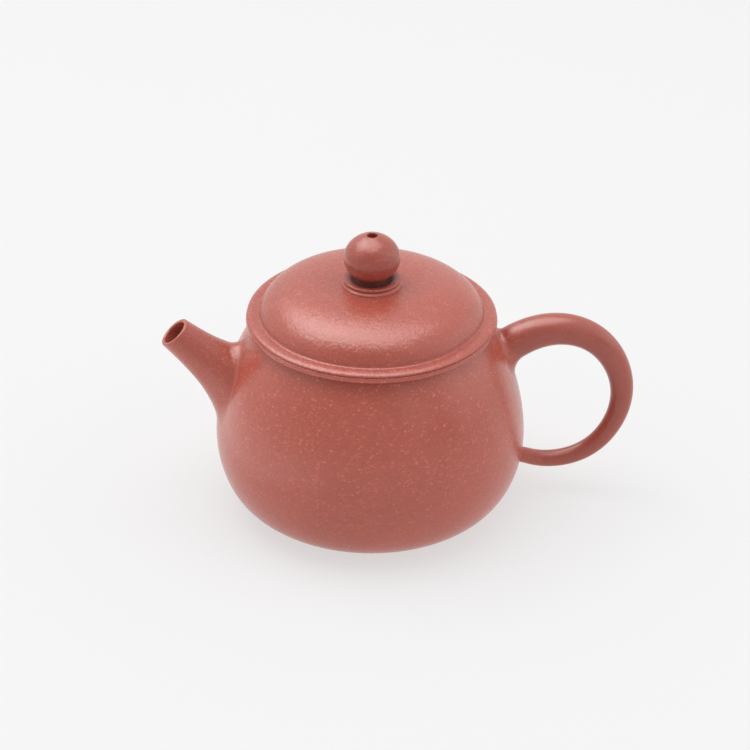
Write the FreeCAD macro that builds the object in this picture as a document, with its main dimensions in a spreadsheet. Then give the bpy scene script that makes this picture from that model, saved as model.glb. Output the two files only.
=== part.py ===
import FreeCAD, Part
import Sketcher
import math
import os
from FreeCAD import Vector, Placement, Rotation

# Round clay teapot: a pot (wall, base, shoulder, mouth ring, spout, strainer,
# handle) and a lid that lifts off (rim, dome, flange, collar, knob).
# Millimetres, +Z up, the axis of the pot on Z, the base on z = 0,
# the spout towards -X and the handle towards +X.

doc = FreeCAD.newDocument("teapot")
sheet = doc.addObject("Spreadsheet::Sheet", "dims")

CELLS = [
    # belly wall, outer curve from the foot to the shoulder
    ("wall_out_a_rad", 25.706), ("wall_out_b_rad", 30.377),
    ("wall_out_c_rad", 37.214), ("wall_out_c_hgt", 1.762),
    ("wall_out_d_rad", 43.14), ("wall_out_d_hgt", 11.624),
    ("wall_out_e_rad", 44.27), ("wall_out_e_hgt", 26.497),
    ("wall_out_f_rad", 39.579), ("wall_out_f_hgt", 43.525),
    ("wall_out_g_rad", 33.761), ("wall_top_hgt", 53.0),
    # belly wall, inner curve
    ("floor_thick", 2.7), ("wall_in_b_rad", 29.965),
    ("wall_in_c_rad", 35.489), ("wall_in_c_hgt", 4.142),
    ("wall_in_d_rad", 40.466), ("wall_in_d_hgt", 12.628),
    ("wall_in_e_rad", 41.394), ("wall_in_e_hgt", 26.461),
    ("wall_in_f_rad", 37.046), ("wall_in_f_hgt", 42.621),
    ("wall_in_g_rad", 30.661),
    # shoulder, mouth ring
    ("neck_rad", 31.83), ("shoulder_top_hgt", 56.05),
    ("mouth_in_rad", 28.6), ("ring_out_rad", 34.25), ("ring_top_hgt", 57.6),
    ("ring_round", 0.62),
    # spout port and strainer
    ("port_rad", 6.0), ("port_x", -40.1), ("port_hgt", 40.9), ("port_tilt", 32.0),
    ("port_depth", 14.0),
    ("strainer_in_rad", 4.9), ("strainer_start", 1.3), ("strainer_step", 3.2),
    ("strainer_pole_k", 3.314), ("strainer_in_k", 2.706),
    ("strainer_out_end", 9.2), ("strainer_in_end", 8.1),
    ("strainer_hole_rad", 0.7), ("strainer_hole_a", 2.1), ("strainer_hole_b", 3.9),
    # spout sections: outer radii, bore radii
    ("spout_tip_rad", 4.74),
    ("spout_rad_b", 5.189), ("spout_rad_c", 5.804), ("spout_rad_d", 6.608),
    ("spout_rad_e", 7.783), ("spout_rad_f", 9.72), ("spout_rad_g", 11.4), ("spout_rad_h", 12.3),
    ("bore_tip_rad", 3.75),
    ("bore_rad_b", 3.95), ("bore_rad_c", 4.25), ("bore_rad_d", 4.75),
    ("bore_rad_e", 5.6), ("bore_rad_f", 7.2), ("bore_rad_g", 8.4), ("bore_rad_h", 9.6),
    # handle sections
    ("handle_rad_a", 5.15), ("handle_rad_b", 4.979), ("handle_rad_c", 4.694),
    ("handle_rad_d", 4.446), ("handle_rad_e", 4.222), ("handle_rad_f", 4.007),
    ("handle_rad_g", 3.787), ("handle_rad_h", 3.556), ("handle_rad_i", 3.324),
    ("handle_rad_j", 3.104), ("handle_rad_k", 2.908), ("handle_rad_l", 2.749),
    ("handle_rad_m", 2.628), ("handle_rad_n", 2.53), ("handle_rad_o", 2.437),
    ("handle_rad_p", 2.333), ("handle_rad_q", 2.3),
    # lid
    ("lid_low_hgt", 57.65), ("lid_rim_top", 58.98), ("lid_rim_rad", 34.5), ("lid_round", 0.6),
    ("flange_rad", 28.25), ("flange_in_rad", 26.1), ("flange_low", 50.9), ("flange_cham", 0.6),
    ("dome_out_a_rad", 31.1), ("dome_out_b_rad", 30.76), ("dome_out_b_hgt", 60.15),
    ("dome_out_c_rad", 29.75), ("dome_out_c_hgt", 62.43),
    ("dome_out_d_rad", 25.37), ("dome_out_d_hgt", 65.937),
    ("dome_out_e_rad", 18.106), ("dome_out_e_hgt", 67.569),
    ("dome_out_f_rad", 11.801), ("dome_out_f_hgt", 68.215),
    ("seat_rad", 8.4), ("seat_hgt", 68.38),
    ("dome_in_a_rad", 28.2), ("dome_in_b_rad", 27.663), ("dome_in_b_hgt", 60.347),
    ("dome_in_c_rad", 26.873), ("dome_in_c_hgt", 61.566),
    ("dome_in_d_rad", 23.872), ("dome_in_d_hgt", 63.826),
    ("dome_in_e_rad", 17.386), ("dome_in_e_hgt", 65.218),
    ("dome_in_f_rad", 12.007), ("dome_in_f_hgt", 65.785),
    ("ceiling_rad", 8.0), ("ceiling_hgt", 65.98),
    ("vent_rad", 1.4),
    # collar and knob
    ("collar_rad", 8.12), ("collar_top", 69.9),
    ("groove_rad", 7.75), ("groove_low", 68.98), ("groove_high", 69.36),
    ("knob_a_rad", 3.869), ("knob_b_rad", 5.84), ("knob_b_hgt", 70.889),
    ("knob_c_rad", 7.97), ("knob_c_hgt", 73.676),
    ("knob_d_rad", 7.79), ("knob_d_hgt", 77.808),
    ("knob_e_rad", 5.31), ("knob_e_hgt", 81.03),
    ("knob_f_rad", 2.88), ("knob_f_hgt", 82.16), ("knob_top", 82.55),
]
VAL = {}
for row, (alias, value) in enumerate(CELLS, 1):
    sheet.set("A%d" % row, alias.replace("_", " "))
    sheet.set("B%d" % row, repr(value))
    sheet.setAlias("B%d" % row, alias)
    VAL[alias] = value
doc.recompute()


def num(key):
    return 0.0 if key is None else VAL[key]


def origin_plane(body, role):
    for feature in body.Origin.OriginFeatures:
        if feature.Role == role:
            return feature
    raise RuntimeError("no plane " + role)


def new_body(name):
    body = doc.addObject("PartDesign::Body", name)
    body.Label = name
    return body


def new_sketch(body, name, role="XZ_Plane", offset=None):
    sketch = body.newObject("Sketcher::SketchObject", name)
    sketch.AttachmentSupport = [(origin_plane(body, role), "")]
    sketch.MapMode = "FlatFace"
    if offset is not None:
        sketch.AttachmentOffset = offset
    return sketch


def bind(sketch, index, key):
    sketch.setExpression("Constraints[%d]" % index, "dims." + key)


def pin(sketch, geo, pos, point):
    """Hold one point at its (radius, height) cells; None lies on an axis."""
    key_r, key_z = point
    if key_r is None:
        sketch.addConstraint(Sketcher.Constraint("PointOnObject", geo, pos, -2))
    else:
        bind(sketch, sketch.addConstraint(
            Sketcher.Constraint("DistanceX", -1, 1, geo, pos, num(key_r))), key_r)
    if key_z is None:
        sketch.addConstraint(Sketcher.Constraint("PointOnObject", geo, pos, -1))
    else:
        bind(sketch, sketch.addConstraint(
            Sketcher.Constraint("DistanceY", -1, 1, geo, pos, num(key_z))), key_z)


def vec(point):
    return Vector(num(point[0]), num(point[1]), 0)


def closed_profile(sketch, curves):
    """Each curve is a list of points: two make a line, more are the poles of a cubic."""
    geos = []
    for points in curves:
        if len(points) == 2:
            geos.append(sketch.addGeometry(
                Part.LineSegment(vec(points[0]), vec(points[1])), False))
        else:
            spans = len(points) - 3
            knots = [i / spans for i in range(spans + 1)]
            mults = [4] + [1] * (spans - 1) + [4]
            geos.append(sketch.addGeometry(Part.BSplineCurve(
                [vec(p) for p in points], mults, knots, False, 3, None, False), False))
    for i, geo in enumerate(geos):
        pin(sketch, geo, 1, curves[i][0])
        sketch.addConstraint(Sketcher.Constraint(
            "Coincident", geo, 2, geos[(i + 1) % len(geos)], 1))
    for geo, points in zip(geos, curves):
        if len(points) == 2:
            continue
        for i, point in enumerate(points):
            circle = sketch.addGeometry(
                Part.Circle(vec(point), Vector(0, 0, 1), 0.5), True)
            sketch.addConstraint(Sketcher.Constraint(
                "InternalAlignment:Sketcher::BSplineControlPoint", circle, 3, geo, i))
            sketch.addConstraint(Sketcher.Constraint("Weight", circle, 1.0))
            if 0 < i < len(points) - 1:
                pin(sketch, circle, 3, point)


def turned(name, curves):
    """A body turned about Z from a closed profile."""
    body = new_body(name)
    sketch = new_sketch(body, name + "_profile")
    closed_profile(sketch, curves)
    turn = body.newObject("PartDesign::Revolution", name + "_turn")
    turn.Profile = sketch
    turn.ReferenceAxis = (sketch, ["V_Axis"])
    turn.Angle = 360.0
    sketch.Visibility = False
    doc.recompute()
    return body, turn


def polygon(points):
    return [[points[i], points[(i + 1) % len(points)]] for i in range(len(points))]


def round_edges(body, feature, name, key, radius_key, heights):
    """Fillet the full-circle edges at one radius."""
    names = []
    for i, edge in enumerate(feature.Shape.Edges, 1):
        curve = edge.Curve
        if isinstance(curve, Part.Circle) and abs(curve.Radius - num(key)) < 1e-3:
            if any(abs(curve.Center.z - num(h)) < 1e-3 for h in heights):
                names.append("Edge%d" % i)
    fillet = body.newObject("PartDesign::Fillet", name)
    fillet.Base = (feature, names)
    fillet.setExpression("Radius", "dims." + radius_key)
    doc.recompute()
    return fillet


WALL_OUT = [("wall_out_a_rad", None), ("wall_out_b_rad", None),
            ("wall_out_c_rad", "wall_out_c_hgt"), ("wall_out_d_rad", "wall_out_d_hgt"),
            ("wall_out_e_rad", "wall_out_e_hgt"), ("wall_out_f_rad", "wall_out_f_hgt"),
            ("wall_out_g_rad", "wall_top_hgt")]
WALL_IN = [("wall_in_g_rad", "wall_top_hgt"), ("wall_in_f_rad", "wall_in_f_hgt"),
           ("wall_in_e_rad", "wall_in_e_hgt"), ("wall_in_d_rad", "wall_in_d_hgt"),
           ("wall_in_c_rad", "wall_in_c_hgt"), ("wall_in_b_rad", "floor_thick"),
           ("wall_out_a_rad", "floor_thick")]

# ---------------------------------------------------------------- pot, turned pieces
body_wall, wall_turn = turned("body_wall", [
    WALL_OUT,
    [WALL_OUT[-1], WALL_IN[0]],
    WALL_IN,
    [WALL_IN[-1], WALL_OUT[0]],
])

# port through the wall behind the spout
tilt = math.radians(VAL["port_tilt"])
inward = Vector(math.cos(tilt), 0, -math.sin(tilt))
port_at = Vector(VAL["port_x"], 0, VAL["port_hgt"])
across = Vector(0, 1, 0)
third = inward.cross(across)
port_frame = Placement(port_at, Rotation(across, third, inward, "ZXY"))
xz_frame = Placement(Vector(0, 0, 0), Rotation(Vector(1, 0, 0), 90))
port_sketch = new_sketch(body_wall, "port_circle", "XZ_Plane",
                         xz_frame.inverse().multiply(port_frame))
ring = port_sketch.addGeometry(Part.Circle(Vector(0, 0, 0), Vector(0, 0, 1), VAL["port_rad"]), False)
port_sketch.addConstraint(Sketcher.Constraint("Coincident", ring, 3, -1, 1))
bind(port_sketch, port_sketch.addConstraint(
    Sketcher.Constraint("Radius", ring, VAL["port_rad"])), "port_rad")
port = body_wall.newObject("PartDesign::Pocket", "spout_port")
port.Profile = port_sketch
port.Midplane = True
port.setExpression("Length", "dims.port_depth")
port_sketch.Visibility = False
doc.recompute()

base_disc, _ = turned("base_disc", polygon([
    (None, None), ("wall_out_a_rad", None),
    ("wall_out_a_rad", "floor_thick"), (None, "floor_thick")]))

shoulder_disc, _ = turned("shoulder_disc", polygon([
    ("mouth_in_rad", "wall_top_hgt"), ("wall_out_g_rad", "wall_top_hgt"),
    ("neck_rad", "shoulder_top_hgt"), ("mouth_in_rad", "shoulder_top_hgt")]))

mouth_ring, ring_turn = turned("mouth_ring", polygon([
    ("mouth_in_rad", "shoulder_top_hgt"), ("ring_out_rad", "shoulder_top_hgt"),
    ("ring_out_rad", "ring_top_hgt"), ("mouth_in_rad", "ring_top_hgt")]))
round_edges(mouth_ring, ring_turn, "mouth_bead", "ring_out_rad", "ring_round",
            ["shoulder_top_hgt", "ring_top_hgt"])

# ---------------------------------------------------------------- strainer
spout_strainer, strainer_turn = turned("spout_strainer", [
    [("strainer_in_rad", "strainer_start"), ("port_rad", "strainer_start")],
    [("port_rad", "strainer_start"), ("port_rad", "strainer_step")],
    [("port_rad", "strainer_step"), ("port_rad", "strainer_out_end"),
     ("strainer_pole_k", "strainer_out_end"), (None, "strainer_out_end")],
    [(None, "strainer_out_end"), (None, "strainer_in_end")],
    [(None, "strainer_in_end"), ("strainer_in_k", "strainer_in_end"),
     ("strainer_in_rad", "strainer_in_end"), ("strainer_in_rad", "strainer_step")],
    [("strainer_in_rad", "strainer_step"), ("strainer_in_rad", "strainer_start")],
])


def hole_ring(body, name, distance_key, count):
    sketch = new_sketch(body, name + "_circle", "XY_Plane")
    start = num(distance_key)
    geo = sketch.addGeometry(Part.Circle(Vector(start, 0, 0), Vector(0, 0, 1),
                                         VAL["strainer_hole_rad"]), False)
    bind(sketch, sketch.addConstraint(Sketcher.Constraint(
        "Radius", geo, VAL["strainer_hole_rad"])), "strainer_hole_rad")
    pin(sketch, geo, 3, (distance_key, None))
    pocket = body.newObject("PartDesign::Pocket", name)
    pocket.Profile = sketch
    pocket.Reversed = True
    pocket.Type = "ThroughAll"
    sketch.Visibility = False
    doc.recompute()
    if count > 1:
        pattern = body.newObject("PartDesign::PolarPattern", name + "_ring")
        pattern.Originals = [pocket]
        pattern.Axis = (sketch, ["N_Axis"])
        pattern.Angle = 360.0
        pattern.Occurrences = count
        body.Tip = pattern
        doc.recompute()


hole_ring(spout_strainer, "holes_middle", None, 1)
hole_ring(spout_strainer, "holes_inner", "strainer_hole_a", 6)
hole_ring(spout_strainer, "holes_outer", "strainer_hole_b", 11)
spout_strainer.Placement = port_frame

# ---------------------------------------------------------------- spout and handle
envelope, _ = turned("belly_envelope", [
    WALL_OUT,
    [WALL_OUT[-1], (None, "wall_top_hgt")],
    [(None, "wall_top_hgt"), (None, None)],
    [(None, None), WALL_OUT[0]],
])


def section(name, x, z, along, radius_key):
    """A round outline across the direction along, in the XZ plane."""
    axis = Vector(along[0], 0, along[1])
    axis.normalize()
    side = Vector(0, 1, 0).cross(axis)
    shape = doc.addObject("Part::Circle", name)
    shape.setExpression("Radius", "dims." + radius_key)
    shape.Angle1, shape.Angle2 = 0, 360
    shape.Placement = Placement(Vector(x, 0, z), Rotation(side, Vector(0, 1, 0), axis, "ZXY"))
    return shape


def loft(name, sections):
    made = doc.addObject("Part::Loft", name)
    made.Sections = sections
    made.Solid = True
    made.Ruled = False
    doc.recompute()
    return made


TIP = (-0.670, 0.742)
spout_skin = loft("spout_skin", [
    section("spout_sec_a", -54.475, 54.23, TIP, "spout_tip_rad"),
    section("spout_sec_b", -50.35, 50.15, (-0.748, 0.664), "spout_rad_b"),
    section("spout_sec_c", -47.48, 47.54, (-0.738, 0.675), "spout_rad_c"),
    section("spout_sec_d", -44.70, 45.02, (-0.751, 0.661), "spout_rad_d"),
    section("spout_sec_e", -41.73, 42.40, (-0.735, 0.678), "spout_rad_e"),
    section("spout_sec_f", -38.00, 38.96, (-0.721, 0.693), "spout_rad_f"),
    section("spout_sec_g", -34.97, 36.05, (-0.721, 0.693), "spout_rad_g"),
    section("spout_sec_h", -32.80, 33.97, (-0.721, 0.693), "spout_rad_h"),
])
spout_bore = loft("spout_bore", [
    section("bore_sec_a", -55.98, 55.86, TIP, "bore_tip_rad"),
    section("bore_sec_b", -50.35, 50.15, (-0.748, 0.664), "bore_rad_b"),
    section("bore_sec_c", -47.48, 47.54, (-0.738, 0.675), "bore_rad_c"),
    section("bore_sec_d", -44.70, 45.02, (-0.751, 0.661), "bore_rad_d"),
    section("bore_sec_e", -41.73, 42.40, (-0.735, 0.678), "bore_rad_e"),
    section("bore_sec_f", -38.00, 38.96, (-0.721, 0.693), "bore_rad_f"),
    section("bore_sec_g", -34.97, 36.05, (-0.721, 0.693), "bore_rad_g"),
    section("bore_sec_h", -31.50, 32.72, (-0.721, 0.693), "bore_rad_h"),
])
spout_tube = doc.addObject("Part::Cut", "spout_tube")
spout_tube.Base, spout_tube.Tool = spout_skin, spout_bore
spout = doc.addObject("Part::Cut", "spout")
spout.Base, spout.Tool = spout_tube, envelope
spout.Label = "spout"

HANDLE = [
    ("a", 33.60, 43.40, (0.820, 0.572)),
    ("b", 39.445, 47.273, (0.839, 0.544)), ("c", 46.500, 50.637, (0.961, 0.277)),
    ("d", 52.885, 51.381, (0.998, -0.056)), ("e", 58.484, 50.170, (0.932, -0.363)),
    ("f", 63.211, 47.442, (0.782, -0.623)), ("g", 67.005, 43.451, (0.589, -0.808)),
    ("h", 69.762, 38.500, (0.380, -0.925)), ("i", 71.285, 33.017, (0.148, -0.989)),
    ("j", 71.397, 27.434, (-0.106, -0.994)), ("k", 70.168, 22.071, (-0.335, -0.942)),
    ("l", 67.788, 17.195, (-0.539, -0.842)), ("m", 64.339, 13.112, (-0.747, -0.665)),
    ("n", 59.744, 10.180, (-0.918, -0.395)), ("o", 54.062, 8.733, (-0.995, -0.103)),
    ("p", 48.022, 8.990, (-0.981, 0.194)), ("q", 40.500, 11.100, (-0.955, 0.296)),
]
handle_skin = loft("handle_skin", [
    section("handle_sec_" + mark, x, z, along, "handle_rad_" + mark)
    for mark, x, z, along in HANDLE])
handle = doc.addObject("Part::Cut", "handle")
handle.Base, handle.Tool = handle_skin, envelope
handle.Label = "handle"
doc.recompute()

# ---------------------------------------------------------------- lid
lid_rim, rim_turn = turned("lid_rim", polygon([
    ("flange_in_rad", "lid_low_hgt"), ("lid_rim_rad", "lid_low_hgt"),
    ("lid_rim_rad", "lid_rim_top"), ("flange_in_rad", "lid_rim_top")]))
round_edges(lid_rim, rim_turn, "lid_bead", "lid_rim_rad", "lid_round",
            ["lid_low_hgt", "lid_rim_top"])

lid_flange, flange_turn = turned("lid_flange", polygon([
    ("flange_in_rad", "flange_low"), ("flange_rad", "flange_low"),
    ("flange_rad", "lid_low_hgt"), ("flange_in_rad", "lid_low_hgt")]))
round_edges(lid_flange, flange_turn, "flange_lead", "flange_rad", "flange_cham", ["flange_low"])

lid_dome, _ = turned("lid_dome", [
    [("dome_out_a_rad", "lid_rim_top"), ("dome_out_b_rad", "dome_out_b_hgt"),
     ("dome_out_c_rad", "dome_out_c_hgt"), ("dome_out_d_rad", "dome_out_d_hgt"),
     ("dome_out_e_rad", "dome_out_e_hgt"), ("dome_out_f_rad", "dome_out_f_hgt"),
     ("seat_rad", "seat_hgt")],
    [("seat_rad", "seat_hgt"), ("vent_rad", "seat_hgt")],
    [("vent_rad", "seat_hgt"), ("vent_rad", "ceiling_hgt")],
    [("vent_rad", "ceiling_hgt"), ("ceiling_rad", "ceiling_hgt")],
    [("ceiling_rad", "ceiling_hgt"), ("dome_in_f_rad", "dome_in_f_hgt"),
     ("dome_in_e_rad", "dome_in_e_hgt"), ("dome_in_d_rad", "dome_in_d_hgt"),
     ("dome_in_c_rad", "dome_in_c_hgt"), ("dome_in_b_rad", "dome_in_b_hgt"),
     ("dome_in_a_rad", "lid_rim_top")],
    [("dome_in_a_rad", "lid_rim_top"), ("dome_out_a_rad", "lid_rim_top")],
])

knob_collar, _ = turned("knob_collar", polygon([
    ("vent_rad", "seat_hgt"), ("collar_rad", "seat_hgt"),
    ("collar_rad", "collar_top"), ("vent_rad", "collar_top")]))
groove_sketch = new_sketch(knob_collar, "collar_groove_profile")
closed_profile(groove_sketch, polygon([
    ("groove_rad", "groove_low"), ("seat_rad", "groove_low"),
    ("seat_rad", "groove_high"), ("groove_rad", "groove_high")]))
groove = knob_collar.newObject("PartDesign::Groove", "collar_groove")
groove.Profile = groove_sketch
groove.ReferenceAxis = (groove_sketch, ["V_Axis"])
groove.Angle = 360.0
groove_sketch.Visibility = False

knob, _ = turned("knob", [
    [("vent_rad", "collar_top"), ("knob_a_rad", "collar_top")],
    [("knob_a_rad", "collar_top"), ("knob_b_rad", "knob_b_hgt"),
     ("knob_c_rad", "knob_c_hgt"), ("knob_d_rad", "knob_d_hgt"),
     ("knob_e_rad", "knob_e_hgt"), ("knob_f_rad", "knob_f_hgt"), ("vent_rad", "knob_top")],
    [("vent_rad", "knob_top"), ("vent_rad", "collar_top")],
])
doc.recompute()

# ---------------------------------------------------------------- write the pieces
PIECES = [body_wall, base_disc, shoulder_disc, mouth_ring, spout, spout_strainer, handle,
          lid_rim, lid_flange, lid_dome, knob_collar, knob]
for obj in doc.Objects:
    for word in ("Invalid", "Error"):
        if word in obj.State:
            raise RuntimeError("%s: %s" % (obj.Name, obj.State))
os.makedirs("parts", exist_ok=True)
for piece in PIECES:
    shape = piece.Shape
    if shape.isNull() or not shape.isValid() or len(shape.Solids) != 1:
        raise RuntimeError("%s: shape is not one valid solid" % piece.Label)
    box = shape.BoundBox
    print("%-16s %9.1f mm3  x %.2f..%.2f  y %.2f..%.2f  z %.2f..%.2f" % (
        piece.Label, shape.Volume, box.XMin, box.XMax, box.YMin, box.YMax, box.ZMin, box.ZMax))
    shape.exportStep("parts/%s.step" % piece.Label)
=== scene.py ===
import math
import bpy
import bmesh
import numpy as np
from mathutils import Matrix, Vector


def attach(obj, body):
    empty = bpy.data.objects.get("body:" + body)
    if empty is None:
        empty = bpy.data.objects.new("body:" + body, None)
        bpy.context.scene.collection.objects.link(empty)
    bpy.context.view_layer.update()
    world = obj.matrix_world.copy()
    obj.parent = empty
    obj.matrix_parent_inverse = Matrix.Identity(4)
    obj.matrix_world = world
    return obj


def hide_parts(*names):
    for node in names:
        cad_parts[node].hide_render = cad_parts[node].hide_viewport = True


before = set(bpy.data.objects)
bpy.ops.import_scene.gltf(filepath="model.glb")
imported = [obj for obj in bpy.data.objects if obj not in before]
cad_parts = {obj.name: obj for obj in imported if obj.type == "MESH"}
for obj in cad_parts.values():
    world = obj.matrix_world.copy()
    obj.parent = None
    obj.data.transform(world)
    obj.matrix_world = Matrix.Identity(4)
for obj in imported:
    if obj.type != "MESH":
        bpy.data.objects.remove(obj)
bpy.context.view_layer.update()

# ------------------------------------------------------------------ numbers, in millimetres
MM = 0.001


def spline(poles, count):
    """Points on a clamped uniform cubic through control points."""
    poles = np.asarray(poles, float)
    n = len(poles)
    spans = n - 3
    knots = np.r_[[0.0] * 3, np.linspace(0, 1, spans + 1), [1.0] * 3]
    t = np.linspace(0, 1, count)
    t[-1] = 1 - 1e-12
    basis = [((t >= knots[i]) & (t < knots[i + 1])).astype(float) for i in range(len(knots) - 1)]
    for d in range(1, 4):
        nxt = []
        for i in range(len(basis) - 1):
            a = knots[i + d] - knots[i]
            b = knots[i + d + 1] - knots[i + 1]
            v = 0.0
            if a > 0:
                v = v + (t - knots[i]) / a * basis[i]
            if b > 0:
                v = v + (knots[i + d + 1] - t) / b * basis[i + 1]
            nxt.append(v)
        basis = nxt
    return sum(np.outer(b, p) for b, p in zip(basis, poles))


def even(points, count):
    """The same line with evenly spaced points."""
    points = np.asarray(points, float)
    s = np.r_[0, np.cumsum(np.linalg.norm(np.diff(points, axis=0), axis=1))]
    u = np.linspace(0, s[-1], count)
    return np.stack([np.interp(u, s, points[:, k]) for k in range(points.shape[1])], 1)


def rounded(corners, count=5):
    """A closed outline from (r, z, rounding) corners."""
    out = []
    n = len(corners)
    for i in range(n):
        p = np.array(corners[i][:2], float)
        rad = corners[i][2]
        if rad <= 0:
            out.append(p)
            continue
        a = np.array(corners[i - 1][:2], float) - p
        b = np.array(corners[(i + 1) % n][:2], float) - p
        a /= np.linalg.norm(a)
        b /= np.linalg.norm(b)
        half = math.acos(max(-1, min(1, a @ b))) / 2
        reach = rad / math.tan(half)
        mid = (a + b) / np.linalg.norm(a + b)
        c = p + mid * rad / math.sin(half)
        v0, v1 = p + a * reach - c, p + b * reach - c
        ang = math.acos(max(-1, min(1, (v0 @ v1) / rad / rad)))
        for k in range(count + 1):
            f = k / count
            out.append(c + (math.sin((1 - f) * ang) * v0 + math.sin(f * ang) * v1) / math.sin(ang))
    return np.array(out)


def fill(outline, step):
    """A closed outline with long runs divided."""
    out = []
    n = len(outline)
    for i in range(n):
        a, b = outline[i], outline[(i + 1) % n]
        k = max(1, int(math.ceil(np.linalg.norm(b - a) / step)))
        for j in range(k):
            out.append(a + (b - a) * j / k)
    return np.array(out)


def warp(p):
    """The small unevenness of a hand-built pot, the same field for every piece."""
    x, y, z = p[:, 0], p[:, 1], p[:, 2]
    lift = np.clip(z / 12.0, 0, 1)
    a = 0.045
    dx = a * (np.sin(0.097 * y + 0.121 * z + 0.7) + 0.6 * np.sin(0.21 * z - 0.13 * y + 2.1))
    dy = a * (np.sin(0.109 * x - 0.093 * z + 1.9) + 0.6 * np.sin(0.19 * x + 0.17 * z + 0.4))
    dz = 0.6 * a * np.sin(0.083 * x + 0.101 * y + 0.3)
    return p + np.stack([dx, dy, dz], 1) * lift[:, None]


# ------------------------------------------------------------------ meshes
def build(name, verts, faces, body, node, material, sharp=(), extra=None):
    """A closed smooth mesh that stands for one node."""
    mesh = bpy.data.meshes.new(name)
    mesh.from_pydata([tuple(v) for v in warp(np.asarray(verts)) * MM], [], faces)
    bm = bmesh.new()
    bm.from_mesh(mesh)
    bmesh.ops.recalc_face_normals(bm, faces=bm.faces[:])
    bm.to_mesh(mesh)
    bm.free()
    mesh.polygons.foreach_set("use_smooth", [True] * len(mesh.polygons))
    if sharp:
        sharp = {tuple(sorted(e)) for e in sharp}
        for e in mesh.edges:
            if tuple(sorted(e.vertices)) in sharp:
                e.use_edge_sharp = True
    obj = bpy.data.objects.new(name, mesh)
    bpy.context.scene.collection.objects.link(obj)
    mats = material if isinstance(material, (list, tuple)) else [material]
    for m in mats:
        mesh.materials.append(m)
    if extra:
        extra(obj)
    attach(obj, body)
    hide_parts(node)
    return obj


def ring_faces(rows, n, loop):
    faces = []
    last = rows if loop else rows - 1
    for i in range(last):
        a, b = i * n, ((i + 1) % rows) * n
        for j in range(n):
            k = (j + 1) % n
            faces.append((a + j, a + k, b + k, b + j))
    return faces


def turned(outline, n):
    """Vertices and faces of a closed outline turned about Z."""
    th = np.arange(n) * 2 * math.pi / n
    verts = np.concatenate([np.stack([r * np.cos(th), r * np.sin(th), np.full(n, z)], 1)
                            for r, z in outline])
    return verts, ring_faces(len(outline), n, True)


def row_edges(row, n):
    return [(row * n + j, row * n + (j + 1) % n) for j in range(n)]


# ------------------------------------------------------------------ the pot's outer line
BELLY = spline([(25.704, 0), (30.814, 0), (37.503, 2.064), (43.330, 12.146),
                (44.125, 28.613), (38.212, 46.830), (31.55, 56.05)], 3000)
BELLY = even(BELLY, 900)
d_belly = np.gradient(BELLY, axis=0)
N_BELLY = np.stack([d_belly[:, 1], -d_belly[:, 0]], 1)
N_BELLY /= np.linalg.norm(N_BELLY, axis=1)[:, None]


def wall_gap(p):
    """Signed distance of points to the belly's outer surface, and the outward direction there."""
    rho = np.hypot(p[:, 0], p[:, 1])
    q = np.stack([rho, p[:, 2]], 1)
    d2 = ((q[:, None, :] - BELLY[None]) ** 2).sum(2)
    i = d2.argmin(1)
    best = BELLY[i]
    nrm = N_BELLY[i]
    for shift in (-1, 1):
        j = np.clip(i + shift, 0, len(BELLY) - 1)
        seg = BELLY[j] - BELLY[i]
        ll = (seg ** 2).sum(1) + 1e-18
        f = np.clip(((q - BELLY[i]) * seg).sum(1) / ll, 0, 1)
        cand = BELLY[i] + seg * f[:, None]
        cn = N_BELLY[i] * (1 - f[:, None]) + N_BELLY[j] * f[:, None]
        better = ((q - cand) ** 2).sum(1) < ((q - best) ** 2).sum(1)
        best = np.where(better[:, None], cand, best)
        nrm = np.where(better[:, None], cn, nrm)
    nrm = nrm / np.linalg.norm(nrm, axis=1)[:, None]
    dist = ((q - best) * nrm).sum(1)
    safe = np.maximum(rho, 1e-9)
    out = np.stack([nrm[:, 0] * p[:, 0] / safe, nrm[:, 0] * p[:, 1] / safe, nrm[:, 1]], 1)
    return dist, out


class Tube:
    """A round tube along a curved axis in the XZ plane, with the angle counted from its upper side."""

    def __init__(self, centre, radius):
        centre = np.asarray(centre, float)
        self.s = np.r_[0, np.cumsum(np.linalg.norm(np.diff(centre, axis=0), axis=1))]
        self.c = centre
        self.r = np.asarray(radius, float)
        t = np.gradient(centre, self.s, axis=0)
        self.t = t / np.linalg.norm(t, axis=1)[:, None]
        self.dr = np.gradient(self.r, self.s)

    def at(self, s, phi, up, extra=0.0):
        c = np.stack([np.interp(s, self.s, self.c[:, k]) for k in range(2)], 1)
        t = np.stack([np.interp(s, self.s, self.t[:, k]) for k in range(2)], 1)
        t /= np.linalg.norm(t, axis=1)[:, None]
        r = np.interp(s, self.s, self.r)
        dr = np.interp(s, self.s, self.dr)
        e = np.stack([-t[:, 1], t[:, 0]], 1) * up
        side = np.stack([e[:, 0] * np.cos(phi), np.sin(phi), e[:, 1] * np.cos(phi)], 1)
        tt = np.stack([t[:, 0], np.zeros_like(r), t[:, 1]], 1)
        n = side - tt * dr[:, None]
        n /= np.linalg.norm(n, axis=1)[:, None]
        p = np.stack([c[:, 0], np.zeros_like(r), c[:, 1]], 1) + side * r[:, None]
        return p + n * np.asarray(extra).reshape(-1, 1) if np.ndim(extra) else p + n * extra


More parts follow.
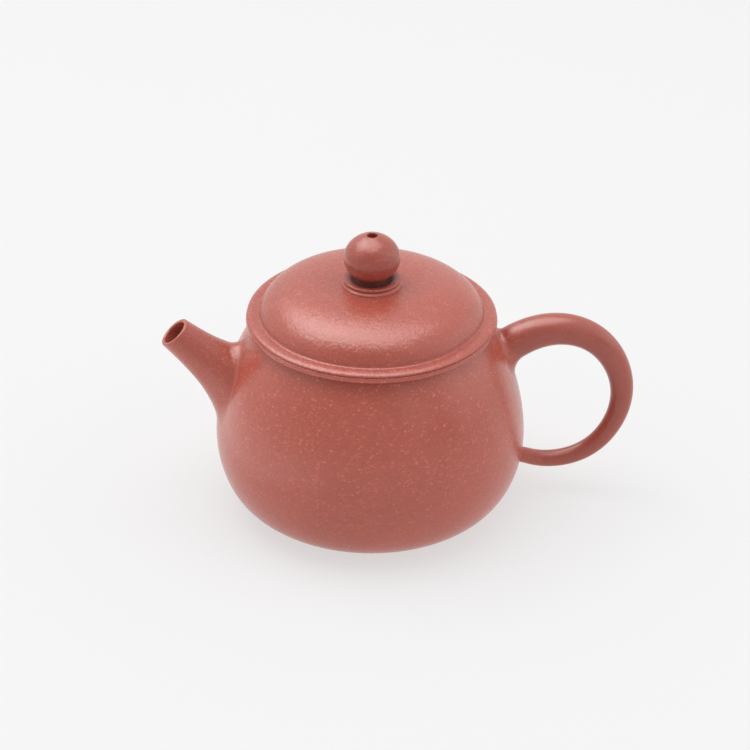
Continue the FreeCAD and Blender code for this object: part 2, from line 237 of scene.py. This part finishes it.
def foot(tube, phi, up, ball, s_out, s_in, rows, sink=0.004):
    """The rolled clay fillet where a tube meets the wall: where it leaves the tube, and its rows."""
    lo, hi = np.full(len(phi), float(s_out)), np.full(len(phi), float(s_in))
    for _ in range(46):
        mid = (lo + hi) / 2
        d, _n = wall_gap(tube.at(mid, phi, up, ball))
        far = d > ball - sink
        lo, hi = np.where(far, mid, lo), np.where(far, hi, mid)
    s = (lo + hi) / 2
    p = tube.at(s, phi, up, ball)
    q0 = tube.at(s, phi, up)
    _d, out = wall_gap(p)
    v0 = (q0 - p) / ball[:, None]
    v1 = -out
    cosang = np.clip((v0 * v1).sum(1), -1, 1)
    ang = np.arccos(cosang)
    made = []
    for k in range(1, rows + 1):
        f = k / rows
        sa = np.sin(ang)
        w0 = np.where(sa > 1e-6, np.sin((1 - f) * ang) / np.maximum(sa, 1e-9), 1 - f)
        w1 = np.where(sa > 1e-6, np.sin(f * ang) / np.maximum(sa, 1e-9), f)
        made.append(p + (v0 * w0[:, None] + v1 * w1[:, None]) * ball[:, None])
    return s, made, out


# ------------------------------------------------------------------ clay
def clay(name, burnished, shade=1.0, grain=1.0, relief=0.5, painted_seat_shade=False, fade=None):
    """Red clay with grains of paler clay in it; shade makes a darker, redder copy of it, painted shade for dimmer
    light on that piece.
    """
    mat = bpy.data.materials.new(name)
    mat.use_nodes = True
    nt = mat.node_tree
    nt.nodes.clear()
    link = nt.links.new

    def node(kind, **settings):
        made = nt.nodes.new(kind)
        for key, value in settings.items():
            setattr(made, key, value)
        return made

    def noise(vector, scale, detail, rough):
        made = node("ShaderNodeTexNoise", noise_dimensions="3D")
        made.inputs["Scale"].default_value = scale
        made.inputs["Detail"].default_value = detail
        made.inputs["Roughness"].default_value = rough
        link(vector, made.inputs["Vector"])
        return made

    def remap(value, a, b, c, d, smooth=False):
        made = node("ShaderNodeMapRange", clamp=True)
        if smooth:
            made.interpolation_type = "SMOOTHSTEP"
        for key, v in zip(("From Min", "From Max", "To Min", "To Max"), (a, b, c, d)):
            made.inputs[key].default_value = v
        link(value, made.inputs["Value"])
        return made.outputs["Result"]

    def math_node(op, a, b):
        made = node("ShaderNodeMath", operation=op)
        for socket, v in zip(made.inputs, (a, b)):
            if isinstance(v, (int, float)):
                socket.default_value = v
            else:
                link(v, socket)
        return made.outputs[0]

    def mix(factor, a, b, mode="MIX"):
        made = node("ShaderNodeMix", data_type="RGBA", blend_type=mode, clamp_factor=True)
        if isinstance(factor, (int, float)):
            made.inputs[0].default_value = factor
        else:
            link(factor, made.inputs[0])
        for socket, v in zip((made.inputs[6], made.inputs[7]), (a, b)):
            if isinstance(v, tuple):
                socket.default_value = v
            else:
                link(v, socket)
        return made.outputs[2]

    coords = node("ShaderNodeTexCoord").outputs["Object"]

    # wobble the lookup a little, so that grains aren't round
    wob = noise(coords, 1300.0, 1.0, 0.5)
    shift = node("ShaderNodeVectorMath", operation="MULTIPLY_ADD")
    link(wob.outputs["Color"], shift.inputs[0])
    shift.inputs[1].default_value = (0.00055, 0.00055, 0.00055)
    link(coords, shift.inputs[2])
    coords_w = shift.outputs[0]

    def grains(scale, share, largest, soft, stretch):
        """Grains of another clay: one in each cell of space, of all sizes up to the largest."""
        squash = node("ShaderNodeMapping", vector_type="POINT")
        squash.inputs["Scale"].default_value = stretch
        squash.inputs["Rotation"].default_value = (0.1, 0.3, 0.0)
        link(coords_w, squash.inputs["Vector"])
        vor = node("ShaderNodeTexVoronoi", voronoi_dimensions="3D", feature="F1")
        vor.inputs["Scale"].default_value = scale
        link(squash.outputs[0], vor.inputs["Vector"])
        split = node("ShaderNodeSeparateColor")
        link(vor.outputs["Color"], split.inputs[0])
        size = remap(split.outputs[0], 1.0 - share, 1.0, 0.0, largest)
        edge = math_node("SUBTRACT", size, vor.outputs["Distance"])
        mask = remap(edge, 0.0, soft, 0.0, 1.0, True)
        return mask, split.outputs[1]

    speck, tone_a = grains(1180.0, 1.0, 0.76, 0.42, (1.0, 1.0, 1.45))
    dust, tone_b = grains(1800.0, 1.0, 0.66, 0.34, (1.2, 1.0, 1.0))
    dark, _ = grains(430.0, 0.05, 0.08, 0.05, (1.0, 1.0, 1.0))

    wide = noise(coords, 42.0, 3.0, 0.55).outputs["Fac"]
    mid = noise(coords, 300.0, 3.0, 0.6).outputs["Fac"]
    fine = noise(coords, 1100.0, 3.0, 0.65).outputs["Fac"]

    spot = node("ShaderNodeSeparateXYZ")
    link(coords, spot.inputs[0])
    keep = 1.0 if fade else shade
    if fade:
        # the clay takes its darker copy (painted shade) or fewer grains along one direction, such as away from a
        # root
        lean = math_node("ADD", math_node("MULTIPLY", spot.outputs[0], fade[0]),
                         math_node("MULTIPLY", spot.outputs[2], fade[1]))
        away = remap(lean, fade[2], fade[3], 0.0, 1.0)

    # darker copies are also made redder, as painted shade
    def tint(r, g, b):
        return (r * keep, g * keep ** 1.4, b * keep ** 1.4, 1)

    if burnished:
        deep, pale = tint(0.364, 0.0775, 0.0523), tint(0.408, 0.0892, 0.0614)
    else:
        deep, pale = tint(0.340, 0.080, 0.054), tint(0.390, 0.098, 0.069)
    colour = mix(remap(wide, 0.32, 0.68, 0.0, 1.0), deep, pale)
    colour = mix(remap(mid, 0.35, 0.70, 0.0, 0.30), colour, tint(0.437, 0.100, 0.068))
    colour = mix(remap(fine, 0.40, 0.75, 0.0, 0.22), colour, tint(0.266, 0.052, 0.035))
    amount = remap(away, 0.0, 1.0, 1.0, grain) if fade else grain
    powder = math_node("MULTIPLY", math_node("MULTIPLY", dust, remap(tone_b, 0, 1, 0.0, 0.45)), amount)
    colour = mix(powder, colour, tint(0.58, 0.148, 0.094))
    tone_a = math_node("POWER", tone_a, 1.3)
    fleck = math_node("MULTIPLY", speck, remap(tone_a, 0, 1, 0.04, 0.54))
    fleck = math_node("MULTIPLY", fleck, amount)
    colour = mix(fleck, colour, tint(0.76, 0.198, 0.112))
    colour = mix(math_node("MULTIPLY", dark, 0.25), colour, tint(0.15, 0.045, 0.04))
    # the painted shade grows in along the fade direction
    if fade:
        colour = mix(1.0, colour, remap(away, 0.0, 1.0, 1.0, shade), "MULTIPLY")
    if painted_seat_shade:
        # painted shade in the narrow seat under the knob, darkest next to its neck where the knob overhangs it
        span = math_node("ADD", math_node("MULTIPLY", spot.outputs[0], spot.outputs[0]),
                         math_node("MULTIPLY", spot.outputs[1], spot.outputs[1]))
        span = math_node("POWER", span, 0.5)
        seat_shade_mask = remap(span, 0.0050, 0.0071, 0.75, 0.0)
        colour = mix(seat_shade_mask, colour, (0.075, 0.014, 0.010, 1))

    rough_base = ((0.225, 0.28) if shade > 0.9 else (0.27, 0.33)) if burnished else (0.62, 0.76)
    rough = math_node("ADD", remap(mid, 0.3, 0.7, *rough_base),
                      remap(fine, 0.3, 0.7, -0.03, 0.03))
    rough = math_node("ADD", rough, math_node("MULTIPLY", speck, 0.05))
    # the painted shade in the seat is also made rougher
    if painted_seat_shade:
        rough = math_node("ADD", rough, math_node("MULTIPLY", seat_shade_mask, 0.7))

    height = math_node("ADD", math_node("MULTIPLY", fine, 1.3 if burnished else 1.3),
                       math_node("MULTIPLY", mid, 0.8 if burnished else 1.3))
    height = math_node("ADD", height, math_node("MULTIPLY", speck, -0.1))
    bump = node("ShaderNodeBump")
    bump.inputs["Strength"].default_value = relief if burnished else 1.0
    bump.inputs["Distance"].default_value = 0.00010
    link(height, bump.inputs["Height"])

    shader = node("ShaderNodeBsdfPrincipled")
    shader.inputs["IOR"].default_value = 1.5
    shader.inputs["Specular IOR Level"].default_value = 0.5
    link(colour, shader.inputs["Base Color"])
    link(rough, shader.inputs["Roughness"])
    link(bump.outputs[0], shader.inputs["Normal"])
    out = node("ShaderNodeOutputMaterial")
    link(shader.outputs[0], out.inputs[0])
    return mat


SKIN = clay("clay_burnished", True, 1.0, 0.5, fade=(0.0, -1.0, -0.030, -0.012))
# the clays below are darker copies, painted shade for how the light falls on each piece
SPOUT_CLAY = clay("clay_spout", True, 0.95, 0.45, fade=(-1.0, 0.0, 0.0405, 0.0470))
# the lid clay is a darker copy, painted shade to hold down its brightly lit top
CAP = clay("clay_lid", True, 0.945, 0.6, 1.1)
# the knob seat carries a painted shade under the knob
SEAT = clay("clay_knob_seat", True, 0.95, 0.6, painted_seat_shade=True)
# the knob clay is darkest and reddest, painted shade for its shaded lower half
KNOB = clay("clay_knob", True, 0.79, 0.65, 0.65)
# the handle clay is a darker copy, painted shade, deepening away from its roots
HANDLE_DARK_CLAY = clay("clay_handle_darker", True, 0.85, 0.3, 0.22, fade=(1.0, 0.2, 0.0472, 0.0530))
RAW = clay("clay_raw", False)

# ------------------------------------------------------------------ pot: turned pieces
TOP_Z = 53.0
below = BELLY[BELLY[:, 1] <= TOP_Z]
cut = np.array([np.interp(TOP_Z, BELLY[400:, 1], BELLY[400:, 0]), TOP_Z])
wall_out = even(np.vstack([below, cut]), 96)
wall_in = even(spline([(30.661, 53.0), (37.046, 42.621), (41.394, 26.461), (40.466, 12.628),
                       (35.489, 4.142), (29.965, 2.7), (25.704, 2.7)], 900), 64)
outline = np.vstack([wall_out, wall_in])
SEG = 256
verts, faces = turned(outline, SEG)


def port(obj):
    """The round opening behind the spout."""
    tilt = math.radians(32.0)
    inward = Vector((math.cos(tilt), 0, -math.sin(tilt)))
    bm = bmesh.new()
    bmesh.ops.create_cone(bm, cap_ends=True, segments=72, radius1=6.0 * MM, radius2=6.0 * MM, depth=14 * MM)
    cutter_mesh = bpy.data.meshes.new("port_cutter")
    bm.to_mesh(cutter_mesh)
    bm.free()
    cutter = bpy.data.objects.new("port_cutter", cutter_mesh)
    bpy.context.scene.collection.objects.link(cutter)
    cutter.matrix_world = Matrix.Translation(Vector((-40.1, 0, 40.9)) * MM) @ inward.to_track_quat("Z", "Y").to_matrix().to_4x4()
    mod = obj.modifiers.new("port", "BOOLEAN")
    mod.operation, mod.solver, mod.object = "DIFFERENCE", "EXACT", cutter
    bpy.context.view_layer.update()
    done = bpy.data.meshes.new_from_object(obj.evaluated_get(bpy.context.evaluated_depsgraph_get()))
    obj.modifiers.clear()
    obj.data = done
    bpy.data.objects.remove(cutter)
    done.set_sharp_from_angle(angle=math.radians(40))
    # the inside is left unpolished
    centre = np.empty(len(done.polygons) * 3)
    done.polygons.foreach_get("center", centre)
    centre = centre.reshape(-1, 3) / MM
    deep = np.concatenate([wall_gap(part)[0] for part in np.array_split(centre, 24)])
    done.polygons.foreach_set("material_index", ((deep < -0.4) & (centre[:, 2] < TOP_Z - 0.05)).astype(int))


wall = build("pot_wall", verts, faces, "pot", "body_wall", [SKIN, RAW], extra=port)



def disc(rows, n):
    """Vertices and faces of an open line turned about Z, its two ends closed flat."""
    th = np.arange(n) * 2 * math.pi / n
    verts = np.concatenate([np.stack([r * np.cos(th), r * np.sin(th), np.full(n, z)], 1) for r, z in rows])
    faces = ring_faces(len(rows), n, False)
    faces.append(tuple(range(n)))
    faces.append(tuple((len(rows) - 1) * n + j for j in range(n)))
    return verts, faces


def crisp(angle):
    def go(obj):
        obj.data.set_sharp_from_angle(angle=math.radians(angle))
    return go


BASE = np.vstack([even(np.array([[0.8, 0.0], [25.704, 0.0]]), 14), [[25.704, 1.35]],
                  even(np.array([[25.704, 2.7], [0.8, 2.7]]), 14)])
verts, faces = disc(BASE, 160)
build("pot_base", verts, faces, "pot", "base_disc", [SKIN], extra=crisp(40))

above = BELLY[BELLY[:, 1] > TOP_Z]
SHOULDER = np.vstack([[[28.6, 53.0]], cut[None], even(above, 10)[1:], [[28.6, 56.05]]])
verts, faces = turned(fill(SHOULDER, 1.2), SEG)
build("pot_shoulder", verts, faces, "pot", "shoulder_disc", [SKIN], extra=crisp(40))

RING = rounded([(28.6, 56.05, 0), (34.76, 56.05, 0.88), (34.74, 57.80, 0.78), (28.6, 57.80, 0.25)], 9)
verts, faces = turned(fill(RING, 0.8), SEG)
build("pot_mouth_ring", verts, faces, "pot", "mouth_ring", [SKIN], extra=crisp(45))

# ------------------------------------------------------------------ spout
PX = 0.28


def from_fit(points):
    p = np.asarray(points, float)
    return np.stack([p[:, 0] * PX, (p[:, 1] + 26.63) * PX], 1)


axis = spline(from_fit([(-200.46, 171.51), (-180.36, 153.03), (-161.46, 135.06), (-142.45, 119.45), (-125.50, 102.58)]), 500)
ball_r = spline([[16.08 * PX], [18.14 * PX], [21.81 * PX], [28.41 * PX], [37.52 * PX]], 500)[:, 0]
s = np.r_[0, np.cumsum(np.linalg.norm(np.diff(axis, axis=0), axis=1))]
dr = np.gradient(ball_r, s)
s_sec = s - ball_r * dr
r_sec = ball_r * np.sqrt(1 - dr ** 2)
keep = s_sec >= 0
s_sec, r_sec = s_sec[keep], r_sec[keep]
t0 = axis[0] - axis[8]
t0 /= np.linalg.norm(t0)
t1 = axis[-1] - axis[-30]
t1 /= np.linalg.norm(t1)
uu = np.linspace(s_sec[0], s_sec[-1], 240)
cen = np.stack([np.interp(uu, s, axis[:, k]) for k in range(2)], 1)
rad = np.interp(uu, s_sec, r_sec)
k1 = (rad[-1] - rad[-12]) / (uu[-1] - uu[-12])
more = np.linspace(0.3, 12, 60)
cen = np.vstack([cen[0] + t0 * 4.0, cen[0] + t0 * 2.0, cen, cen[-1] + np.outer(more, t1)])
rad = np.r_[rad[0] - 0.02, rad[0] - 0.01, rad, rad[-1] + k1 * more]
SPOUT = Tube(cen, rad)

NS = 128
phi = np.arange(NS) * 2 * math.pi / NS
UP = 1.0 if SPOUT.t[5][0] > 0 else -1.0
over, below_ = np.clip(np.cos(phi), 0, 1), np.clip(-np.cos(phi), 0, 1)
ball = 1.5 + 3.0 * over ** 4 + 14.7 * below_ ** 3
s_foot, fillet_rows, foot_out = foot(SPOUT, phi, UP, ball, 6.0, SPOUT.s[-1] - 0.5, 14)

# the slanting mouth
M = np.array([-54.475, 0, 54.23])
NM = np.array([-0.670, 0, 0.742])


def to_mouth(tube, depth):
    lo, hi = np.full(NS, 0.0), np.full(NS, 18.0)
    for _ in range(46):
        m = (lo + hi) / 2
        d = (tube.at(m, phi, UP) - M) @ NM
        out_side = d > -depth
        lo, hi = np.where(out_side, m, lo), np.where(out_side, hi, m)
    return (lo + hi) / 2


LIP = 0.40
s_lip = to_mouth(SPOUT, LIP)
bore_r = SPOUT.r - np.interp(SPOUT.s, [0, 5, 14, 24, 40], [1.0, 1.0, 1.6, 2.3, 2.9])
BORE = Tube(cen, bore_r)
s_bore = to_mouth(BORE, LIP)
rows = []
A, B = SPOUT.at(s_lip, phi, UP), BORE.at(s_bore, phi, UP)
for k in range(9):
    a = math.pi * (1 - k / 9)
    c = math.copysign(abs(math.cos(a)) ** 0.75, math.cos(a))
    h = abs(math.sin(a)) ** 0.75
    rows.append((A + B) / 2 + (A - B) / 2 * c + NM * LIP * h)
lip_rows = rows
tube_rows = [SPOUT.at(s_lip + (s_foot - s_lip) * (k / 44), phi, UP) for k in range(45)]
d_end = 0.3
lo, hi = np.full(NS, 14.0), np.full(NS, SPOUT.s[-1])
for _ in range(46):
    m = (lo + hi) / 2
    d, _n = wall_gap(BORE.at(m, phi, UP))
    far = d > -d_end
    lo, hi = np.where(far, m, lo), np.where(far, hi, m)
s_end = (lo + hi) / 2
bore_rows = [BORE.at(s_end + (s_bore - s_end) * (k / 30), phi, UP) for k in range(31)]
under = fillet_rows[-1] - foot_out * d_end
rows = tube_rows + fillet_rows + [under] + bore_rows + lip_rows[1:]
edge_row = len(tube_rows) + len(fillet_rows) - 1
verts = np.concatenate(rows)
faces = ring_faces(len(rows), NS, True)
sharp = row_edges(edge_row, NS) + row_edges(edge_row + 1, NS) + row_edges(edge_row + 2, NS)
build("pot_spout", verts, faces, "pot", "spout", [SPOUT_CLAY], sharp=sharp)

# ------------------------------------------------------------------ handle
axis = spline(from_fit([(140.88, 142.20), (161.96, 156.26), (200.30, 161.56), (240.50, 135.10), (260.28, 86.69),
                        (249.17, 38.58), (216.80, 4.09), (178.12, 2.21), (162.17, 8.08)]), 900)
rad = spline([[17.78 * PX], [16.01 * PX], [13.89 * PX], [9.38 * PX], [8.88 * PX], [8.14 * PX]], 900)[:, 0]
t0 = axis[0] - axis[20]
t0 /= np.linalg.norm(t0)
t1 = axis[-1] - axis[-20]
t1 /= np.linalg.norm(t1)
more = np.linspace(0.3, 8, 40)
cen = np.vstack([axis[0] + np.outer(more[::-1], t0), axis, axis[-1] + np.outer(more, t1)])
rad = np.r_[np.full(40, rad[0]), rad, np.full(40, rad[-1])]
HANDLE = Tube(cen, rad)
NH = 96
phi = np.arange(NH) * 2 * math.pi / NH
HUP = 1.0
inner = (1 - np.cos(phi)) / 2
ball_a = 1.8 + 1.0 * np.sin(phi) ** 2 + 3.9 * inner ** 2
s_a, rows_a, out_a = foot(HANDLE, phi, HUP, ball_a, 14.0, 0.2, 12)
ball_b = 1.3 + 0.9 * inner
s_b, rows_b, out_b = foot(HANDLE, phi, HUP, ball_b, HANDLE.s[-1] - 14.0, HANDLE.s[-1] - 0.2, 9)
mid_rows = [HANDLE.at(s_a + (s_b - s_a) * (k / 150), phi, HUP) for k in range(151)]
cap_a = [rows_a[-1] - out_a * 0.3]
cap_b = [rows_b[-1] - out_b * 0.3]
rows = cap_a + rows_a[::-1] + mid_rows + rows_b + cap_b
verts = np.concatenate(rows)
faces = ring_faces(len(rows), NH, False)
faces.append(tuple(range(NH)))
faces.append(tuple((len(rows) - 1) * NH + j for j in range(NH)))
sharp = row_edges(0, NH) + row_edges(1, NH) + row_edges(len(rows) - 1, NH) + row_edges(len(rows) - 2, NH)
build("pot_handle", verts, faces, "pot", "handle", [HANDLE_DARK_CLAY], sharp=sharp)

# ------------------------------------------------------------------ lid
brow = even(spline([(34.16, 57.85), (34.38, 57.87), (34.52, 57.98), (34.52, 58.22), (34.22, 58.52), (33.45, 58.82),
                    (32.60, 58.88), (31.40, 58.87)], 600), 38)
RIM = np.vstack([[[26.1, 57.65]], [[28.40, 57.65]], [[28.45, 57.85]], [[34.06, 57.85]], brow, [[31.30, 58.70]],
                 [[26.1, 58.68]]])
verts, faces = turned(fill(RIM, 0.8), SEG)
build("lid_rim_plate", verts, faces, "lid", "lid_rim", [CAP], extra=crisp(45))

FLANGE = rounded([(26.1, 50.9, 0.4), (28.1, 50.9, 0.6), (28.25, 57.65, 0), (26.1, 57.65, 0)], 6)
verts, faces = turned(fill(FLANGE, 0.9), 224)
build("lid_flange_ring", verts, faces, "lid", "lid_flange", [RAW], extra=crisp(45))

dome_out = even(spline([(31.85, 58.83), (31.34, 58.86), (31.00, 59.04), (30.92, 59.75), (30.22, 61.15),
                        (29.076, 62.951), (25.438, 65.794), (18.093, 67.70), (12.2, 67.70), (8.4, 67.72)], 900), 84)
dome_in = even(spline([(8.0, 65.98), (12.007, 65.785), (17.386, 65.218), (23.872, 63.826),
                       (26.873, 61.566), (27.663, 60.347), (28.2, 58.68)], 600), 30)
dome = np.vstack([dome_out, even(np.array([[8.4, 67.72], [1.4, 67.72]]), 8)[1:],
                  even(np.array([[1.4, 67.72], [1.4, 65.98]]), 4)[1:],
                  even(np.array([[1.4, 65.98], [8.0, 65.98]]), 6)[1:-1], dome_in])
verts, faces = turned(dome, SEG)


def dome_slots(obj):
    mesh = obj.data
    mesh.set_sharp_from_angle(angle=math.radians(45))
    centre = np.empty(len(mesh.polygons) * 3)
    mesh.polygons.foreach_get("center", centre)
    centre = centre.reshape(-1, 3) / MM
    rho = np.hypot(centre[:, 0], centre[:, 1])
    skin = np.interp(rho, dome_out[::-1, 0], dome_out[::-1, 1])
    mesh.polygons.foreach_set("material_index", ((centre[:, 2] < skin - 1.2) & (rho < 29.0)).astype(int))


build("lid_dome_cap", verts, faces, "lid", "lid_dome", [CAP, RAW], extra=dome_slots)

COLLAR = rounded([(1.4, 67.66, 0), (8.38, 67.66, 0), (8.34, 68.02, 0.2), (8.08, 68.26, 0.2), (7.72, 68.56, 0.25),
                  (8.02, 69.16, 0.35), (7.88, 69.68, 0.28), (7.2, 69.62, 0.3), (6.0, 69.38, 0.4), (4.9, 68.66, 0.3),
                  (4.1, 68.60, 0.1), (3.8, 69.86, 0), (1.4, 69.86, 0)], 6)
verts, faces = turned(fill(COLLAR, 0.5), 160)
build("lid_knob_collar", verts, faces, "lid", "knob_collar", [SEAT], extra=crisp(50))

a, b, zc = 7.75, 6.664, 75.64
ang = np.linspace(math.asin((69.86 - zc) / b), math.acos(1.62 / a), 70)
ball_line = np.stack([a * np.cos(ang), zc + b * np.sin(ang)], 1)
ball_line[:, 1] += np.where(ang > 0, 0.36 * np.exp(-(ball_line[:, 0] / 4.0) ** 2), 0.0)
top_p = ball_line[-1]
hole = np.array([[1.50, top_p[1] - 0.02], [1.42, top_p[1] - 0.10], [1.4, top_p[1] - 0.25]])
knob = np.vstack([ball_line, hole, even(np.array([[1.4, top_p[1] - 0.25], [1.4, 69.86]]), 16)[1:],
                  even(np.array([[1.4, 69.86], [ball_line[0, 0], 69.86]]), 4)[1:-1]])
verts, faces = turned(knob, 112)
build("lid_knob_ball", verts, faces, "lid", "knob", [KNOB], extra=crisp(50))

# ------------------------------------------------------------------ the strainer stays as built, in raw clay
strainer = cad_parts["spout_strainer"]
strainer.data.materials.clear()
strainer.data.materials.append(RAW)

# ------------------------------------------------------------------ camera
el, roll, dist = math.radians(30.95), math.radians(0.75), 2600 * PX
az = math.radians(-5.0)
back = np.array([math.sin(az) * math.cos(el), -math.cos(az) * math.cos(el), math.sin(el)])
right = np.array([math.cos(az), math.sin(az), 0.0])
up = np.cross(back, right)
right2 = math.cos(roll) * right + math.sin(roll) * up
up2 = -math.sin(roll) * right + math.cos(roll) * up
target = 4.25 * PX * right + np.array([0, 0, (110.17 + 26.63) * PX])
pos = (target + dist * back) * MM
cam_data = bpy.data.cameras.new("camera")
cam_data.sensor_width = 36.0
cam_data.lens = 2600 / 750 * 36.0
cam_data.clip_start, cam_data.clip_end = 0.01, 50
cam = bpy.data.objects.new("camera", cam_data)
bpy.context.scene.collection.objects.link(cam)
cam.matrix_world = Matrix(((right2[0], up2[0], back[0], pos[0]), (right2[1], up2[1], back[1], pos[1]),
                           (right2[2], up2[2], back[2], pos[2]), (0, 0, 0, 1)))
bpy.context.scene.camera = cam

# ------------------------------------------------------------------ floor and light
floor_mesh = bpy.data.meshes.new("floor")
floor_mesh.from_pydata([(-6, -6, 0), (6, -6, 0), (6, 6, 0), (-6, 6, 0)], [], [(0, 1, 2, 3)])
floor = bpy.data.objects.new("floor", floor_mesh)
bpy.context.scene.collection.objects.link(floor)
floor.location.z = -0.00005
fm = bpy.data.materials.new("pale_floor")
fm.use_nodes = True
sh_ = fm.node_tree.nodes["Principled BSDF"]
sh_.inputs["Base Color"].default_value = (0.25, 0.25, 0.25, 1)
sh_.inputs["Roughness"].default_value = 0.9
sh_.inputs["Specular IOR Level"].default_value = 0.0
sh_.inputs["Emission Color"].default_value = (1, 1, 1, 1)
sh_.inputs["Emission Strength"].default_value = 0.59
floor_mesh.materials.append(fm)


def softbox(name, azimuth, height, roll, half_wide, half_tall, radiance, reach=1.0, sheen=False):
    """A square-edged soft light, placed and sized by the angles it fills as the pot sees it."""
    a, e, ro = (math.radians(v) for v in (azimuth, height, roll))
    c = Vector((math.cos(e) * math.sin(a), -math.cos(e) * math.cos(a), math.sin(e)))
    h = Vector((math.cos(a), math.sin(a), 0.0))
    v = c.cross(h)
    x = math.cos(ro) * h + math.sin(ro) * v
    y = c.cross(x)
    data = bpy.data.lights.new(name, "AREA")
    data.shape = "RECTANGLE"
    data.size = 2 * reach * math.tan(math.radians(half_wide))
    data.size_y = 2 * reach * math.tan(math.radians(half_tall))
    data.energy = radiance * math.pi * data.size * data.size_y
    obj = bpy.data.objects.new(name, data)
    obj.visible_diffuse = not sheen
    obj.visible_camera = False
    bpy.context.scene.collection.objects.link(obj)
    w = c * reach + Vector((0, 0, 0.05))
    obj.matrix_world = Matrix(((x[0], y[0], c[0], w[0]), (x[1], y[1], c[1], w[1]),
                               (x[2], y[2], c[2], w[2]), (0, 0, 0, 1)))
    return obj


softbox("key_box", -130.5, 75.4, -76.4, 37.0, 25.0, 0.82)
softbox("sheen_box", -130.5, 75.4, -76.4, 37.0, 25.0, 3.35, reach=0.8, sheen=True)
softbox("left_strip", -118.0, 63.0, -76.0, 12.0, 20.0, 1.85, reach=0.9)
softbox("top_box", 0.0, 88.0, 0.0, 20.0, 20.0, 0.42, reach=1.1)
softbox("left_box", -75.0, 38.0, 0.0, 22.0, 14.0, 0.42, reach=1.2)
softbox("left_low", -85.0, 12.0, 0.0, 30.0, 12.0, 0.22, reach=1.25)
softbox("right_box", 96.0, 40.0, 0.0, 24.0, 30.0, 0.25)
softbox("right_low", 90.0, 12.0, 0.0, 30.0, 12.0, 0.52, reach=1.2)
fill_box = softbox("right_fill", 52.0, 34.0, 0.0, 28.0, 20.0, 0.50, reach=1.4)
fill_box.data.specular_factor = 0.0
softbox("front_low", 0.0, 14.0, 0.0, 45.0, 12.0, 0.33, reach=1.3)
glow = softbox("floor_glow", 0.0, -90.0, 0.0, 45.0, 45.0, 0.10, reach=0.4)
glow.location.z = -0.00003
side = softbox("left_glow", 0.0, -90.0, 0.0, 45.0, 60.0, 0.51, reach=0.09)
side.location = (-0.17, 0.0, -0.00002)

world = bpy.data.worlds.new("studio")
bpy.context.scene.world = world
world.use_nodes = True
wt = world.node_tree
bg = wt.nodes["Background"]
bg.inputs["Color"].default_value = (1, 1, 1, 1)


def sky(value, a, b, c, d):
    made = wt.nodes.new("ShaderNodeMapRange")
    made.interpolation_type = "SMOOTHSTEP"
    for key, v in zip(("From Min", "From Max", "To Min", "To Max"), (a, b, c, d)):
        made.inputs[key].default_value = v
    wt.links.new(value, made.inputs["Value"])
    return made


# pale near the floor and behind the pot, dim above the camera
way = wt.nodes.new("ShaderNodeSeparateXYZ")
wt.links.new(wt.nodes.new("ShaderNodeTexCoord").outputs["Generated"], way.inputs[0])
low = sky(way.outputs["Z"], 0.28, 0.80, 0.41, 0.37)
behind = sky(way.outputs["Y"], -0.82, 0.35, 0.0, 0.636)
both = wt.nodes.new("ShaderNodeMath")
wt.links.new(low.outputs[0], both.inputs[0])
wt.links.new(behind.outputs[0], both.inputs[1])
wt.links.new(both.outputs[0], bg.inputs["Strength"])

bpy.context.scene.view_settings.view_transform = "Standard"
bpy.context.scene.view_settings.look = "None"

bpy.context.view_layer.update()
